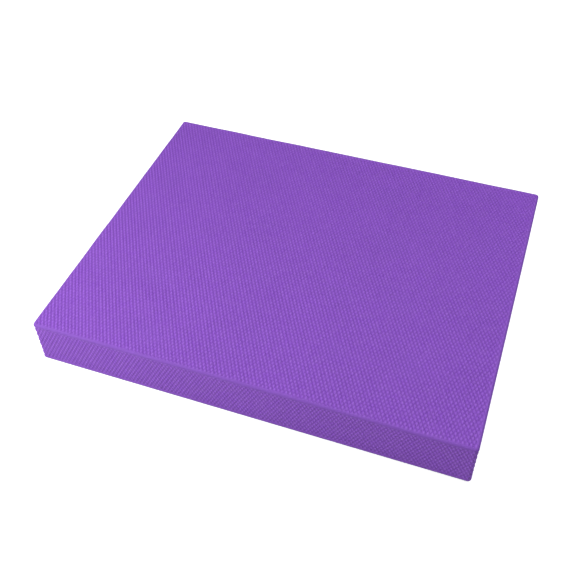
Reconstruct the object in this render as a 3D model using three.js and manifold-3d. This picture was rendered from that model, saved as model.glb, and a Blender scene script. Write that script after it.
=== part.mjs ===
// Balance pad: a soft foam block that a person stands, kneels or sits on to train balance.
// Three foam layers are bonded into a core, and an embossed skin in three pieces closes it:
// a top and a bottom sheet whose rims turn over the rounded edges, and a band around the sides.
// Millimetres, +Z up. The origin is the middle of the underside, and +X runs along the length.

import * as THREE from "three";
import { mergeVertices } from "three/addons/utils/BufferGeometryUtils.js";
import Module from "manifold-3d";

// Driving dimensions.
const LENGTH = 500;
const WIDTH = 406;
const THICKNESS = 60;
const EDGE_RADIUS = 3.5; // rounding where the top and the underside turn into the sides
const CORNER_RADIUS = 4; // rounding of the four upright corners, seen from above
const SKIN_THICKNESS = 1.5;
const CORE_LAYERS = ["core_layer_bottom", "core_layer_middle", "core_layer_top"];

// How finely the roundings are divided.
const CORNER_STEPS = 3;
const EDGE_STEPS = 6;

// Colours of the foam: the pressed skin is a little lighter than the open foam under it.
const SKIN_COLOUR = 0x8a59c2;
const FOAM_COLOUR = 0x7d50b2;

const wasm = await Module();
wasm.setup();

// A closed three.js geometry as a solid that can be cut.
function toSolid(geometry) {
  geometry.deleteAttribute("normal");
  geometry.deleteAttribute("uv");
  const merged = mergeVertices(geometry);
  const vertProperties = merged.attributes.position.array;
  const triVerts = new Uint32Array(merged.index.array);
  return new wasm.Manifold(new wasm.Mesh({ numProp: 3, vertProperties, triVerts }));
}

// A cut solid as a named mesh.
function toMesh(name, solid, material) {
  const { vertProperties, triVerts } = solid.getMesh();
  const geometry = new THREE.BufferGeometry();
  geometry.setAttribute("position", new THREE.BufferAttribute(vertProperties, 3));
  geometry.setIndex(new THREE.BufferAttribute(triVerts, 1));
  geometry.computeVertexNormals();
  const mesh = new THREE.Mesh(geometry, material);
  mesh.name = name;
  return mesh;
}

// The flat part of the top: a rectangle with round corners, as far in as the edges' rounding.
function flatOutline() {
  const radius = CORNER_RADIUS - EDGE_RADIUS;
  const x = LENGTH / 2 - CORNER_RADIUS;
  const y = WIDTH / 2 - CORNER_RADIUS;
  const quarter = Math.PI / 2;
  const centres = [[x, y], [-x, y], [-x, -y], [x, -y]];
  const outline = new THREE.Shape();
  centres.forEach(([cx, cy], i) => {
    outline.absarc(cx, cy, radius, i * quarter, (i + 1) * quarter);
  });
  return outline;
}

// The pad's form with every edge rounded. The full edge radius gives the outside, and a radius
// smaller by the skin's thickness gives the form of the core, the same distance in everywhere.
function roundedBlock(rounding) {
  const geometry = new THREE.ExtrudeGeometry(flatOutline(), {
    depth: THICKNESS - 2 * EDGE_RADIUS,
    curveSegments: CORNER_STEPS,
    bevelThickness: rounding,
    bevelSize: rounding,
    bevelSegments: EDGE_STEPS,
  });
  geometry.translate(0, 0, EDGE_RADIUS);
  return toSolid(geometry);
}

// The slice of a solid between two heights.
function slice(solid, low, high) {
  const geometry = new THREE.BoxGeometry(2 * LENGTH, 2 * WIDTH, high - low);
  geometry.translate(0, 0, (low + high) / 2);
  return solid.intersect(toSolid(geometry));
}

// The skin: the shell between the outside and the core, parted where the rounded edges begin.
function makeSkin(outside, core) {
  const material = new THREE.MeshStandardMaterial({
    color: SKIN_COLOUR,
    roughness: 0.72,
    metalness: 0,
  });
  const shell = outside.subtract(core);
  const upperSeam = THICKNESS - EDGE_RADIUS;
  const lowerSeam = EDGE_RADIUS;
  const skin = new THREE.Group();
  skin.add(toMesh("top_skin", slice(shell, upperSeam, 2 * THICKNESS), material));
  skin.add(toMesh("side_skin", slice(shell, lowerSeam, upperSeam), material));
  skin.add(toMesh("bottom_skin", slice(shell, -THICKNESS, lowerSeam), material));
  return skin;
}

// The core: foam layers of equal thickness, bonded face to face and stacked from the underside.
function makeCore(core) {
  const material = new THREE.MeshStandardMaterial({
    color: FOAM_COLOUR,
    roughness: 0.9,
    metalness: 0,
  });
  const layerThickness = (THICKNESS - 2 * SKIN_THICKNESS) / CORE_LAYERS.length;
  const layers = new THREE.Group();
  CORE_LAYERS.forEach((name, i) => {
    const low = SKIN_THICKNESS + i * layerThickness;
    layers.add(toMesh(name, slice(core, low, low + layerThickness), material));
  });
  return layers;
}

const outside = roundedBlock(EDGE_RADIUS);
const core = roundedBlock(EDGE_RADIUS - SKIN_THICKNESS);

const group = new THREE.Group();
group.add(makeSkin(outside, core));
group.add(makeCore(core));

export default group;
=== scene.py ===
"""The looks of the balance pad: a soft foam block with a pressed skin, lying on a pale floor.

The three pieces of skin are rebuilt with their grain as real relief, and the three layers of the
core as the cut foam under them. Metres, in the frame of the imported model: +X along the length,
+Z up, the origin in the middle of the underside.
"""

import math

import bpy
import numpy as np
from mathutils import Matrix, Vector


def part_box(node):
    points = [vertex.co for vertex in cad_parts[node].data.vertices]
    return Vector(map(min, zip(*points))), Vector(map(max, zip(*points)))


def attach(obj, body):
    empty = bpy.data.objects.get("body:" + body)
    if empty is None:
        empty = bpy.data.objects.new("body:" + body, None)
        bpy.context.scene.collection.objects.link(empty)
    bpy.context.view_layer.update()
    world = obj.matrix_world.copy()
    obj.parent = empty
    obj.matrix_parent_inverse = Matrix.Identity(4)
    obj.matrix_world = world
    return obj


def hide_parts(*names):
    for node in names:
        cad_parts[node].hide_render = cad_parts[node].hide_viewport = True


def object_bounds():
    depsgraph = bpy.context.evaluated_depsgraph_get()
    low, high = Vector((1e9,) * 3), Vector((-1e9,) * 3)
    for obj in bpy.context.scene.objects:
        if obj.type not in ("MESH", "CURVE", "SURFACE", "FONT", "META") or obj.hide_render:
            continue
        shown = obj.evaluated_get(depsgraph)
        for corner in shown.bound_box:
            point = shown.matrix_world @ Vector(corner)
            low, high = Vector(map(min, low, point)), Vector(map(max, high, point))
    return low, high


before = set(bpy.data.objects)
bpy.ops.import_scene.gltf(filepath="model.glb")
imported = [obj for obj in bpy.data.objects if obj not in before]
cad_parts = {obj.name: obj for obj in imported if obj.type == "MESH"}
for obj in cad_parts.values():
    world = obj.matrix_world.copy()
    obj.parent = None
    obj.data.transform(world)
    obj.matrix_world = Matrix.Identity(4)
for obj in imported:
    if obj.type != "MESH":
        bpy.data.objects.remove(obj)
cad_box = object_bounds()

# ---------------------------------------------------------------------------------------------
# Sizes. The frame gives the large ones, and the grain and the fine roundings are given here.

MM = 0.001
LENGTH, WIDTH, THICKNESS = cad_box[1] - cad_box[0]
SEAM_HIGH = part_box("side_skin")[1].z
SEAM_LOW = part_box("side_skin")[0].z
EDGE_RADIUS = THICKNESS - SEAM_HIGH
SKIN_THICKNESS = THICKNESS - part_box("core_layer_top")[1].z
CORNER_RADIUS = 4.0 * MM

GRAIN_PITCH = 4.32 * MM  # from one diamond to the next in a row
GRAIN_ROW = 4.05 * MM  # from one row of diamonds to the next; rows are staggered
SIDE_GRAIN_ROW = 3.94 * MM  # the same on the sides, where the skin was stretched less
GRAIN_DEPTH = 1.35 * MM  # from a diamond's crown to the crossing of two grooves
SIDE_GRAIN_DEPTH = 1.0 * MM  # the same on the sides
GRAIN_STEPS = 4  # points along a diamond's side
GRAIN_ROUNDING = 0.9  # 1 is a soft swell, and near 0 a flat tile with sharp grooves
GRAIN_UNEVENNESS = 0.25  # how much lower the lowest crowns are
GRAIN_FADE = 3.0 * MM  # the grain dies out over this width, ending on the rounded edge
GRAIN_END = math.radians(40)  # where on the rounded edge it ends; 90 degrees is the seam
SIDE_GRAIN_FADE = 1.5 * MM  # the same on the sides, from their seams inwards
TOP_TURN = math.radians(1.2)  # each sheet was embossed before it was cut, so its grain is askew
BOTTOM_TURN = math.radians(-0.7)

BACK_STEPS = 2  # steps in the rounding of a sheet's smooth back
LEAST_GAP = 0.1 * MM  # points along a seam that lie closer together than this become one
CORE_ROOM = 0.1 * MM  # left free between the core's layers, and between them and the skin
CUT_RADIUS = 0.4 * MM  # the edge of a layer where the foam was cut
CORE_EDGE_STEPS = 4
CORE_POINT_STEP = 2 * MM  # from point to point round a layer

# A soft block is never quite flat or straight. Each wave of its top: from crest to crest, the way
# it runs in radians, and where it begins.
WAVES = [
    (0.140, 0.35, 0.6),
    (0.093, 1.75, 2.1),
    (0.071, 2.60, 4.0),
    (0.052, 0.95, 5.2),
]
WAVE_HEIGHT = 0.1 * MM
SIDE_SAG = 0.25 * MM  # how far the top is off to the side, here and there
END_SAG_START = 0.7  # where that swing begins, along the width and along the length
SIDE_SAG_START = 0.4

WEAR_WIDTH = 9 * MM  # how far from the edges the skin is scuffed
CREASE_ANGLE = math.radians(55)  # faces that meet more sharply than this are shaded as a crease

QUARTER_TURN = math.pi / 2

# The straight half lengths of the outline, and the outline's straight and round stretches in
# turn: the distance round it, the centre that the rounding is struck from, and the way it faces.
HALF_X = LENGTH / 2 - CORNER_RADIUS
HALF_Y = WIDTH / 2 - CORNER_RADIUS
CORNERS = [(HALF_X, -HALF_Y), (HALF_X, HALF_Y), (-HALF_X, HALF_Y), (-HALF_X, -HALF_Y)]
SIDES = [HALF_X, 2 * HALF_Y, 2 * HALF_X, 2 * HALF_Y]


def outline_knots():
    """The places where the outline turns from straight to round, from the middle of the front."""
    around = 0.0
    facing = -QUARTER_TURN
    knots = [(around, 0.0, -HALF_Y, facing)]
    for (x, y), side in zip(CORNERS, SIDES):
        around += side
        knots.append((around, x, y, facing))
        around += CORNER_RADIUS * QUARTER_TURN
        facing += QUARTER_TURN
        knots.append((around, x, y, facing))
    knots.append((around + HALF_X, 0.0, -HALF_Y, facing))
    return np.array(knots).T


OUTLINE = outline_knots()
PERIMETER = OUTLINE[0, -1]


def outline(around, inset, height):
    """Points at a distance round the pad, so far in from its sides and so high."""
    facing = np.interp(around, OUTLINE[0], OUTLINE[3])
    radius = CORNER_RADIUS - inset
    x = np.interp(around, OUTLINE[0], OUTLINE[1]) + radius * np.cos(facing)
    y = np.interp(around, OUTLINE[0], OUTLINE[2]) + radius * np.sin(facing)
    return np.stack([x, y, np.broadcast_to(height, x.shape)], axis=-1)


def smooth(value):
    """Eases a value from 0 to 1."""
    t = np.clip(value, 0, 1)
    return t * t * (3 - 2 * t)


# ---------------------------------------------------------------------------------------------
# The grain: diamonds with rounded crowns between two families of crossing grooves.


def diamond_net(columns, rows, wrap):
    """A net of points where column plus row is even, and its diamonds, as (column, row, faces).

    With wrap the last column meets the first, and half diamonds close the first and last row.
    """
    width = columns if wrap else columns + 1
    column, row = np.meshgrid(np.arange(width), np.arange(rows + 1))
    even = (column + row) % 2 == 0
    number = np.full(column.shape, -1)
    number[even] = np.arange(even.sum())
    left = np.roll(number, 1, axis=1)
    right = np.roll(number, -1, axis=1)
    middle = ~even
    if not wrap:
        middle[:, [0, -1]] = False
    whole = middle[1:-1]
    faces = np.stack([
        left[1:-1][whole],
        number[:-2][whole],
        right[1:-1][whole],
        number[2:][whole],
    ], axis=-1).tolist()
    if wrap:
        first, last = middle[0], middle[-1]
        faces += np.stack([left[0][first], right[0][first], number[1][first]], -1).tolist()
        faces += np.stack([left[-1][last], number[-2][last], right[-1][last]], -1).tolist()
    return column[even], row[even], faces


# How high each diamond's crown stands, the same on every run.
UNEVENNESS_TABLE = (256, 1024)
UNEVENNESS_SEED = 5
UNEVENNESS = np.random.default_rng(UNEVENNESS_SEED).uniform(
    1 - GRAIN_UNEVENNESS, 1, UNEVENNESS_TABLE
)


def crown(column, row, columns_round=None):
    """How high the grain stands at a point of the net, from 0 in a groove to 1 on a full crown.

    On a band, columns_round is the number of columns after which the diamonds are the same again.
    """
    side = 2 * GRAIN_STEPS
    rising, falling = column + row, column - row
    height = np.abs(np.sin(math.pi * rising / side) * np.sin(math.pi * falling / side))
    diamond_row = rising // side - falling // side
    diamond_column = rising // side + falling // side + 1
    rows, columns = UNEVENNESS.shape
    if columns_round:
        columns = columns_round // GRAIN_STEPS
    return height**GRAIN_ROUNDING * UNEVENNESS[diamond_row % rows, diamond_column % columns]


# ---------------------------------------------------------------------------------------------
# Meshes. Each piece is one closed body.


def strips(rings):
    """The faces between each ring of points and the next, facing out where the rings go down."""
    faces = []
    for ring, following in zip(rings, rings[1:]):
        quads = [ring, following, np.roll(following, -1), np.roll(ring, -1)]
        faces += np.stack(quads, axis=-1).tolist()
    return faces


def settle(points):
    """The slight waviness of a soft block: nothing on the floor, and most at the top."""
    x, y, z = points.T
    rise = z / THICKNESS
    swell = np.zeros_like(x)
    for size, angle, phase in WAVES:
        across = x * math.cos(angle) + y * math.sin(angle)
        swell += np.sin(2 * math.pi * across / size + phase)
    moved = points.copy()
    moved[:, 2] += WAVE_HEIGHT * rise * swell
    moved[:, 0] += SIDE_SAG * rise * np.sin(math.pi * y / WIDTH + END_SAG_START)
    moved[:, 1] += SIDE_SAG * rise * np.sin(math.pi * x / LENGTH + SIDE_SAG_START)
    return moved


def nearness_to_edge(points):
    """1 on the pad's edges and corners, falling to 0 away from them."""
    middle = np.array([0, 0, THICKNESS / 2])
    half = np.array([LENGTH, WIDTH, THICKNESS]) / 2
    depth = np.sort(half - np.abs(points - middle), axis=1)
    return 1 - smooth(depth[:, 1] / WEAR_WIDTH)


def make_piece(name, points, faces, dip, grain, material):
    """A settled, smooth piece that stands for the CAD node of the same name."""
    mesh = bpy.data.meshes.new(name)
    mesh.from_pydata(settle(points).tolist(), [], faces)
    attributes = {"dip": dip, "grain": grain, "edge": nearness_to_edge(points)}
    for label, values in attributes.items():
        attribute = mesh.attributes.new(label, "FLOAT", "POINT")
        attribute.data.foreach_set("value", values.astype(np.float32))
    mesh.shade_smooth()
    mesh.set_sharp_from_angle(angle=CREASE_ANGLE)
    mesh.materials.append(material)
    piece = bpy.data.objects.new(name + "_look", mesh)
    bpy.context.scene.collection.objects.link(piece)
    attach(piece, "root")
    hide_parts(name)
    return piece


def border_ring(faces):
    """The points round the open border of a sheet of faces, in the order that the faces have."""
    begins, ends = faces.ravel(), np.roll(faces, -1, axis=1).ravel()
    count = faces.max() + 1
    is_open = ~np.isin(begins * count + ends, ends * count + begins)
    following = dict(zip(begins[is_open].tolist(), ends[is_open].tolist()))
    ring = [begins[is_open][0]]
    while following[ring[-1]] != ring[0]:
        ring.append(following[ring[-1]])
    return ring


def bend_over_edge(x, y, outer_height, seam):
    """Wraps points of a flat sheet over the rounded edges, down to the seam and no further.

    Gives the points, the way the surface faces there, how far each lies beyond the flat part,
    and the distance round the outline of those that reach the seam (-1 for the others).
    """
    core_x, core_y = np.clip(x, -HALF_X, HALF_X), np.clip(y, -HALF_Y, HALF_Y)
    away_x, away_y = x - core_x, y - core_y
    distance = np.hypot(away_x, away_y)
    facing = np.arctan2(away_y, away_x)
    flat_reach = CORNER_RADIUS - EDGE_RADIUS
    beyond = distance - flat_reach
    angle = np.clip(beyond / EDGE_RADIUS, 0, QUARTER_TURN)
    reach = np.minimum(distance, flat_reach) + EDGE_RADIUS * np.sin(angle)
    up = math.copysign(1, outer_height - seam)
    points = np.stack([
        core_x + reach * np.cos(facing),
        core_y + reach * np.sin(facing),
        outer_height - up * EDGE_RADIUS * (1 - np.cos(angle)),
    ], axis=-1)
    normals = np.stack([
        np.sin(angle) * np.cos(facing),
        np.sin(angle) * np.sin(facing),
        up * np.cos(angle),
    ], axis=-1)
    turned = (facing + QUARTER_TURN) % (2 * math.pi)
    straight = np.choose(np.round(turned / QUARTER_TURN).astype(int), [
        core_x,
        HALF_X + HALF_Y + core_y,
        2 * HALF_X + 2 * HALF_Y - core_x,
        3 * HALF_X + 3 * HALF_Y - core_y,
        4 * HALF_X + 4 * HALF_Y + core_x,
    ])
    around = (straight + CORNER_RADIUS * turned) % PERIMETER
    return points, normals, beyond, np.where(angle < QUARTER_TURN, -1, around)


def make_sheet(name, outer_height, inner_height, seam, turn, material):
    """A large face of the skin: embossed, bent over the rounded edges, and smooth at the back."""
    column_step = GRAIN_PITCH / (2 * GRAIN_STEPS)
    row_step = GRAIN_ROW / GRAIN_STEPS
    half_diagonal = math.hypot(LENGTH, WIDTH) / 2
    lean = abs(math.sin(turn)) * half_diagonal
    half_columns = math.ceil((LENGTH / 2 + lean) / column_step) + 2 * GRAIN_STEPS
    half_rows = math.ceil((WIDTH / 2 + lean) / row_step) + 2 * GRAIN_STEPS
    column, row, faces = diamond_net(2 * half_columns, 2 * half_rows, wrap=False)
    grid_x = (column - half_columns) * column_step
    grid_y = (row - half_rows) * row_step
    x = grid_x * math.cos(turn) - grid_y * math.sin(turn)
    y = grid_x * math.sin(turn) + grid_y * math.cos(turn)
    points, normals, beyond, around = bend_over_edge(x, y, outer_height, seam)
    grain = 1 - smooth((beyond - GRAIN_END * EDGE_RADIUS) / GRAIN_FADE + 1)
    dip = grain * (1 - crown(column, row))
    points -= GRAIN_DEPTH * dip[:, None] * normals

    # Keep the diamonds that are not wholly at the seam, and close up the points along it.
    faces = np.array(faces)
    faces = faces[(around < 0)[faces].any(axis=1)]
    border = border_ring(faces)
    number = np.arange(len(points))
    kept = [border[0]]
    for point in border[1:]:
        gaps = [(around[a] - around[b]) % PERIMETER for a, b in ((point, kept[-1]), (kept[0], point))]
        if min(gaps) > LEAST_GAP and max(gaps) < PERIMETER - LEAST_GAP:
            kept.append(point)
        number[point] = kept[-1]
    used, faces = np.unique(number[faces], return_inverse=True)
    faces = [list(dict.fromkeys(face)) for face in faces.reshape(-1, 4).tolist()]
    faces = [face for face in faces if len(face) > 2]
    rings = [np.searchsorted(used, kept)]
    points, dip, grain, around = points[used], dip[used], grain[used], around[kept]

    # The smooth back: a rounding the skin's thickness inside the outer one, closed by one face.
    inner_radius = EDGE_RADIUS - SKIN_THICKNESS
    back = []
    for step in range(BACK_STEPS + 1):
        angle = QUARTER_TURN * (1 - step / BACK_STEPS)
        inset = SKIN_THICKNESS + inner_radius * (1 - math.sin(angle))
        ring_height = seam + (inner_height - seam) * math.cos(angle)
        rings.append(len(points) + len(around) * step + np.arange(len(around)))
        back.append(outline(around, inset, ring_height))
    faces += strips(rings) + [rings[-1][::-1].tolist()]
    if outer_height < inner_height:
        faces = [face[::-1] for face in faces]
    back = np.concatenate(back)
    points = np.concatenate([points, back])
    dip, grain = (np.concatenate([values, np.zeros(len(back))]) for values in (dip, grain))
    return make_piece(name, points, faces, dip, grain, material)


def make_side_band(name, material):
    """The skin round the four sides: one embossed band with a smooth back."""
    height = SEAM_HIGH - SEAM_LOW
    columns = 2 * GRAIN_STEPS * round(PERIMETER / GRAIN_PITCH)
    rows = 2 * round(height / (2 * SIDE_GRAIN_ROW / GRAIN_STEPS))
    column, row, faces = diamond_net(columns, rows, wrap=True)
    around = column * PERIMETER / columns
    level = SEAM_LOW + row * height / rows
    fade = smooth(np.minimum(level - SEAM_LOW, SEAM_HIGH - level) / SIDE_GRAIN_FADE)
    dip = fade * (1 - crown(column, row, columns))
    points = outline(around, SIDE_GRAIN_DEPTH * dip, level)
    low_ring = np.flatnonzero(row == 0)
    high_ring = np.flatnonzero(row == rows)
    inner_low = len(points) + np.arange(len(low_ring))
    inner_high = inner_low + len(low_ring)
    points = np.concatenate([
        points,
        outline(around[low_ring], SKIN_THICKNESS, SEAM_LOW),
        outline(around[high_ring], SKIN_THICKNESS, SEAM_HIGH),
    ])
    faces += strips([low_ring, inner_low, inner_high, high_ring])
    smooth_part = np.zeros(2 * len(low_ring))
    dip, grain = np.concatenate([dip, smooth_part]), np.concatenate([fade, smooth_part])
    return make_piece(name, points, faces, dip, grain, material)


def make_core_layer(name, material):
    """A layer of cut foam. Its edge at the skin follows the skin's inside, with a little room."""
    low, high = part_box(name)
    inner_radius = EDGE_RADIUS - SKIN_THICKNESS
    high_radius = inner_radius if high.z > SEAM_HIGH else CUT_RADIUS
    low_radius = inner_radius if low.z < SEAM_LOW else CUT_RADIUS
    around = np.arange(0, PERIMETER, CORE_POINT_STEP)
    angles = np.linspace(0, QUARTER_TURN, CORE_EDGE_STEPS + 1)
    profile = []
    for angle in angles:
        inset = SKIN_THICKNESS + CORE_ROOM + high_radius * (1 - math.sin(angle))
        profile.append((inset, high.z - CORE_ROOM - high_radius * (1 - math.cos(angle))))
    for angle in angles[::-1]:
        inset = SKIN_THICKNESS + CORE_ROOM + low_radius * (1 - math.sin(angle))
        profile.append((inset, low.z + CORE_ROOM + low_radius * (1 - math.cos(angle))))
    points = np.concatenate([outline(around, inset, height) for inset, height in profile])
    rings = np.arange(len(points)).reshape(len(profile), -1)
    faces = strips(list(rings)) + [rings[0].tolist(), rings[-1][::-1].tolist()]
    plain = np.zeros(len(points))
    return make_piece(name, points, faces, plain, plain, material)


# ---------------------------------------------------------------------------------------------
# Materials.


NOISE_RANGE = (0.3, 0.7)  # where nearly all of the values of a noise node lie
MIX_AMOUNT, MIX_ONE, MIX_OTHER = 0, 6, 7  # a Mix node's inputs when it mixes colours
MIX_COLOUR = 2  # and its output


class Shader:
    """A material's node tree, with short ways to add nodes to it and to join them."""

    def __init__(self, name):
        self.material = bpy.data.materials.new(name)
        self.material.use_nodes = True
        self.tree = self.material.node_tree
        self.surface = self.tree.nodes["Principled BSDF"]

    def add(self, kind, inputs=None, **settings):
        """A node with its settings, and its inputs as plain values or other nodes' outputs."""
        node = self.tree.nodes.new(kind)
        for key, value in settings.items():
            setattr(node, key, value)
        for key, value in (inputs or {}).items():
            self.feed(node.inputs[key], value)
        return node

    def feed(self, socket, value):
        """Joins another node's output to an input, or sets the input to a plain value."""
        if isinstance(value, bpy.types.NodeSocket):
            self.tree.links.new(value, socket)
        else:
            socket.default_value = value

    def noise(self, scale, detail, low, high):
        """Noise in the object's own space, in swells to the metre, between a low and a high."""
        place = self.add("ShaderNodeTexCoord").outputs["Object"]
        inputs = {"Vector": place, "Scale": scale, "Detail": detail}
        value = self.add("ShaderNodeTexNoise", inputs).outputs["Fac"]
        return self.remap(value, *NOISE_RANGE, low, high)

    def attribute(self, name):
        """A value that the mesh carries at each of its points."""
        return self.add("ShaderNodeAttribute", attribute_name=name).outputs["Fac"]

    def remap(self, value, low, high, to_low, to_high):
        """The value, from one range to another, held within it."""
        inputs = {"Value": value, 1: low, 2: high, 3: to_low, 4: to_high}
        return self.add("ShaderNodeMapRange", inputs).outputs[0]

    def multiply(self, one, other):
        return self.add("ShaderNodeMath", {0: one, 1: other}, operation="MULTIPLY").outputs[0]

    def blend(self, amount, one, other):
        """A colour between two, from one at amount 0 to other at 1."""
        inputs = {MIX_AMOUNT: amount, MIX_ONE: one, MIX_OTHER: other}
        return self.add("ShaderNodeMix", inputs, data_type="RGBA").outputs[MIX_COLOUR]

    def bump(self, height, distance):
        """The surface's normal, tilted as if it stood out by a distance where the height is 1."""
        inputs = {"Height": height, "Distance": distance, "Strength": 1.0}
        return self.add("ShaderNodeBump", inputs).outputs["Normal"]


def shade(colour, factor=1.0):
    """A colour as it is, or made lighter or darker, with full alpha."""
    return (*(channel * factor for channel in colour), 1.0)


SKIN_COLOUR = (0.238, 0.085, 0.538)
# the pale colour of the random flecks, and of the painted highlight and wear on the crowns
PALE_COLOUR = (0.300, 0.130, 0.575)
# the painted shade at the bottom of the grooves
GROOVE_SHADE_COLOUR = (0.120, 0.022, 0.270)
SCUFF_COLOUR = (0.270, 0.110, 0.540)
FOAM_COLOUR = (0.190, 0.068, 0.420)
FLOOR_COLOUR = (0.75, 0.75, 0.75)

SMOOTH_PAINTED_SHADE = 0.74  # how dark the skin is where it has no grain, against where it has; painted shade on the smooth rounded edges and seams
CELL_SHADE = 0.86  # how dark the fine cells in the skin are, against the rest of it
HOLLOW_PAINTED_SHADE = 0.62  # painted shade: how dark the hollows of the cut foam's opened cells are, against their walls
GROOVE_SHADE_STRENGTH = 0.45  # how much of the painted groove shade shows at the bottom of a groove
CROWN_PALENESS = 0.5  # how much of the pale colour shows on a crown: painted highlight and wear
CROWN_REACH = 0.5  # how far down from a crown it goes, of the grain's depth
SKIN_CELL_RELIEF = 0.02 * MM
FOAM_CELL_RELIEF = 0.15 * MM
FOAM_CELLS = 1100.0  # to the metre
FLOOR_WASH = 0.6  # light added to the floor as the camera sees it, so that it stays white


def skin_material():
    """Pressed foam: matt and clouded, with painted shade in the grooves and on the smooth edges, a
    painted highlight and wear on the crowns, and scuffed edges.
    """
    skin = Shader("pressed_skin")
    surface = skin.surface.inputs
    clouds = skin.noise(scale=16, detail=3, low=0, high=1)
    colour = skin.blend(clouds, shade(SKIN_COLOUR, 0.97), shade(SKIN_COLOUR, 1.03))
    flecks = skin.noise(scale=230, detail=1, low=0, high=0.45)
    colour = skin.blend(flecks, colour, shade(PALE_COLOUR))
    cells = skin.noise(scale=900, detail=2, low=0, high=0.35)
    colour = skin.blend(cells, colour, shade(SKIN_COLOUR, CELL_SHADE))
    grain = skin.attribute("grain")
    dip = skin.attribute("dip")
    # Painted highlight and wear: the crowns are blended towards the pale colour, less so further
    # down.
    crown_highlight_and_wear = skin.remap(dip, 0.0, CROWN_REACH, CROWN_PALENESS, 0.0)
    colour = skin.blend(crown_highlight_and_wear, colour, shade(PALE_COLOUR))
    # Painted shade: where the grain has died out, on the smooth rounded edges and seams, the skin is
    # painted darker.
    colour = skin.blend(grain, shade(SKIN_COLOUR, SMOOTH_PAINTED_SHADE), colour)
    # Painted shade in the grooves: the deeper a point lies, the darker it is painted.
    groove = skin.multiply(dip, GROOVE_SHADE_STRENGTH)
    colour = skin.blend(groove, colour, shade(GROOVE_SHADE_COLOUR))
    scuffs = skin.multiply(grain, skin.noise(scale=120, detail=4, low=0, high=0.35))
    wear = skin.multiply(skin.attribute("edge"), scuffs)
    colour = skin.blend(wear, colour, shade(SCUFF_COLOUR))
    skin.feed(surface["Base Color"], colour)
    skin.feed(surface["Roughness"], skin.noise(scale=60, detail=3, low=0.6, high=0.72))
    pores = skin.noise(scale=1400, detail=2, low=0, high=1)
    skin.feed(surface["Normal"], skin.bump(pores, SKIN_CELL_RELIEF))
    surface["Specular IOR Level"].default_value = 0.15
    return skin.material


def foam_material():
    """Cut foam: dull, with the walls of its opened cells standing in relief and painted shade in
    their hollows.
    """
    foam = Shader("cut_foam")
    surface = foam.surface.inputs
    clouds = foam.noise(scale=22, detail=3, low=0, high=1)
    colour = foam.blend(clouds, shade(FOAM_COLOUR, 0.93), shade(FOAM_COLOUR, 1.06))
    place = foam.add("ShaderNodeTexCoord").outputs["Object"]
    cells = foam.add("ShaderNodeTexVoronoi", {"Vector": place, "Scale": FOAM_CELLS}).outputs[0]
    # Painted shade in the hollows of the opened cells.
    hollow = foam.remap(cells, 0.0, 0.6, 0.5, 0.0)
    colour = foam.blend(hollow, colour, shade(FOAM_COLOUR, HOLLOW_PAINTED_SHADE))
    foam.feed(surface["Base Color"], colour)
    foam.feed(surface["Roughness"], foam.remap(cells, 0.0, 0.7, 0.95, 0.82))
    foam.feed(surface["Normal"], foam.bump(cells, FOAM_CELL_RELIEF))
    surface["Specular IOR Level"].default_value = 0.2
    return foam.material


def floor_material():
    """Plain pale studio paper, washed out to white for the camera by light from behind it."""
    floor = Shader("pale_floor")
    surface = floor.surface.inputs
    mottle = floor.noise(scale=9, detail=3, low=0, high=1)
    colour = floor.blend(mottle, shade(FLOOR_COLOUR, 0.99), shade(FLOOR_COLOUR, 1.01))
    floor.feed(surface["Base Color"], colour)
    surface["Roughness"].default_value = 0.9
    surface["Specular IOR Level"].default_value = 0.1
    seen = floor.add("ShaderNodeLightPath").outputs["Is Camera Ray"]
    surface["Emission Color"].default_value = (1.0, 1.0, 1.0, 1.0)
    floor.feed(surface["Emission Strength"], floor.multiply(seen, FLOOR_WASH))
    return floor.material


# ---------------------------------------------------------------------------------------------
# The studio: floor, light and camera.


FLOOR_REACH = 6.0  # how far the floor runs each way from the pad


def make_floor():
    """A flat square of studio paper, level with the pad's underside."""
    half = FLOOR_REACH
    corners = [(-half, -half, 0), (half, -half, 0), (half, half, 0), (-half, half, 0)]
    mesh = bpy.data.meshes.new("floor")
    mesh.from_pydata(corners, [], [(0, 1, 2, 3)])
    mesh.materials.append(floor_material())
    floor = bpy.data.objects.new("floor", mesh)
    bpy.context.scene.collection.objects.link(floor)


# Each softbox: where it stands round the pad (counter-clockwise from +X) and how high, in degrees,
# how far off, how wide and how tall, in metres, its power in watts, and its colour.
WARM = (0.99, 1.04, 0.91)
WHITE = (1.0, 1.0, 1.0)
SOFTBOXES = {
    "key": (217, 31, 1.2, 1.1, 0.55, 17.5, WARM),
    "back_right": (20, 55, 2.0, 1.0, 1.0, 22.1, WHITE),
    "top": (0, 90, 2.0, 1.2, 1.2, 3.6, WHITE),
}
SKY_STRENGTH = 0.22
BACKDROP_BRIGHTNESS = 1.0  # of the sky as the camera sees it, above the floor


def add_softbox(name, azimuth, elevation, distance, width, height, power, colour):
    """A rectangular area light that faces the pad."""
    light = bpy.data.lights.new(name, "AREA")
    light.shape = "RECTANGLE"
    light.size = width
    light.size_y = height
    light.energy = power
    light.color = colour
    lamp = bpy.data.objects.new(name, light)
    turn = Matrix.Rotation(math.radians(azimuth), 4, "Z")
    tilt = Matrix.Rotation(math.radians(-elevation), 4, "Y")
    lamp.location = turn @ tilt @ Vector((distance, 0, 0))
    lamp.rotation_euler = lamp.location.to_track_quat("Z", "Y").to_euler()
    bpy.context.scene.collection.objects.link(lamp)


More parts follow.
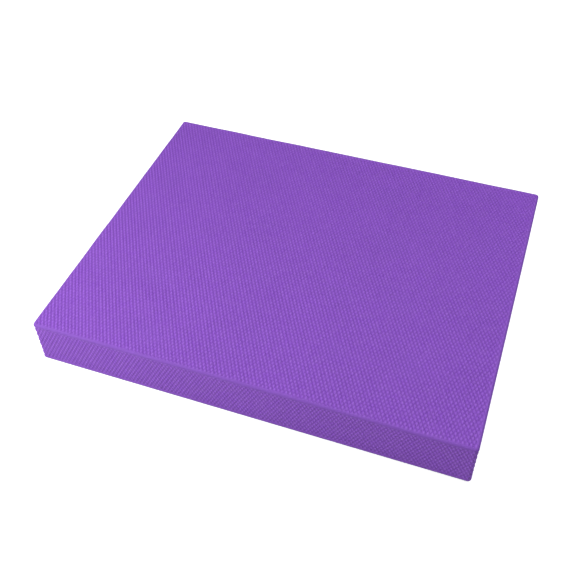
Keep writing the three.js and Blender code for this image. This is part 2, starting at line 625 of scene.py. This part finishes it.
def light_studio():
    """A wide key light low at the front left, softer light from behind, and a weak even sky."""
    world = bpy.data.worlds.new("studio")
    world.use_nodes = True
    tree = world.node_tree
    background = tree.nodes["Background"].inputs
    background["Color"].default_value = (1.0, 1.0, 1.0, 1.0)
    strength = tree.nodes.new("ShaderNodeMapRange")
    strength.inputs["To Min"].default_value = SKY_STRENGTH
    strength.inputs["To Max"].default_value = BACKDROP_BRIGHTNESS
    seen = tree.nodes.new("ShaderNodeLightPath").outputs["Is Camera Ray"]
    tree.links.new(seen, strength.inputs["Value"])
    tree.links.new(strength.outputs[0], background["Strength"])
    bpy.context.scene.world = world
    for name, settings in SOFTBOXES.items():
        add_softbox(name, *settings)


CAMERA_TARGET = Vector((-0.0087, -0.0316, 0.03))
CAMERA_AZIMUTH = math.radians(20.29)
CAMERA_ELEVATION = math.radians(46.67)
CAMERA_ROLL = math.radians(-0.88)
CAMERA_DISTANCE = 1.0047
CAMERA_LENS = 52.27  # on a sensor 36 wide, both in millimetres
CAMERA_SENSOR = 36.0


def place_camera():
    """The camera of a product photograph, from the front right and above."""
    camera = bpy.data.cameras.new("camera")
    camera.sensor_width = CAMERA_SENSOR
    camera.lens = CAMERA_LENS
    turn = Matrix.Rotation(CAMERA_AZIMUTH, 4, "Z")
    tilt = Matrix.Rotation(QUARTER_TURN - CAMERA_ELEVATION, 4, "X")
    roll = Matrix.Rotation(CAMERA_ROLL, 4, "Z")
    holder = bpy.data.objects.new("camera", camera)
    aim = turn @ tilt @ roll
    back = aim.to_3x3() @ Vector((0, 0, CAMERA_DISTANCE))
    holder.matrix_world = Matrix.Translation(CAMERA_TARGET + back) @ aim
    bpy.context.scene.collection.objects.link(holder)
    bpy.context.scene.camera = holder


# ---------------------------------------------------------------------------------------------
# The scene.

place_camera()
make_floor()
light_studio()
bpy.context.scene.view_settings.view_transform = "Standard"

skin = skin_material()
foam = foam_material()
make_sheet("top_skin", THICKNESS, THICKNESS - SKIN_THICKNESS, SEAM_HIGH, TOP_TURN, skin)
make_sheet("bottom_skin", 0.0, SKIN_THICKNESS, SEAM_LOW, BOTTOM_TURN, skin)
make_side_band("side_skin", skin)
for layer in ("core_layer_bottom", "core_layer_middle", "core_layer_top"):
    make_core_layer(layer, foam)
